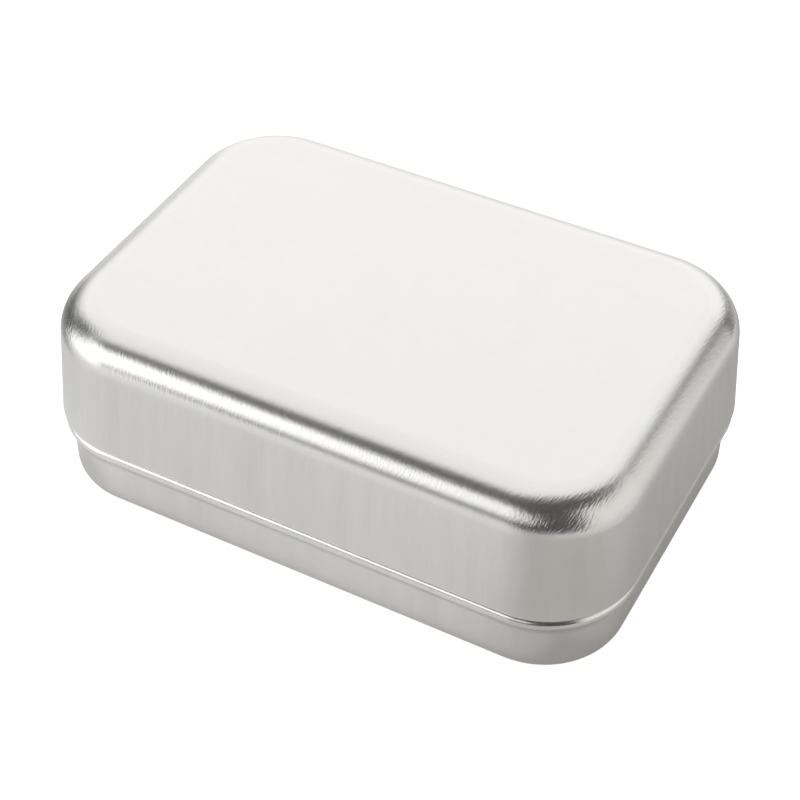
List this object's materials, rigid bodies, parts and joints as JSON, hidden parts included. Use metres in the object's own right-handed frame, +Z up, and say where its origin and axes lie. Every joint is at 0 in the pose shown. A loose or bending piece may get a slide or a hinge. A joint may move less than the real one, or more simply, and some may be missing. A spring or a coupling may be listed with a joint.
{
  "type": "soap tin",
  "caption": "Oblong drawn metal tin with round corners and a deep slip-on lid, whose edge stops on a bead round the tray, to carry or keep a bar of soap.",
  "frame": {"origin": "on the table, under the middle of the closed tin", "axes": "+X along the tin's length, +Y along its width, +Z up, the way that the lid lifts"},
  "size_m": [0.095, 0.065, 0.0329],
  "materials": {
    "base_aluminium": "satin, drawn, bare",
    "lid_aluminium": "satin, drawn, bare, brighter on the flat top"
  },
  "bodies": {
    "base": {"base": "base_aluminium"},
    "lid": {"lid": "lid_aluminium"}
  },
  "joints": [
    {"name": "lid_lift", "type": "slide", "parent": "base", "child": "lid", "axis": [0, 0, 1], "range_m": [0, 0.03]}
  ]
}
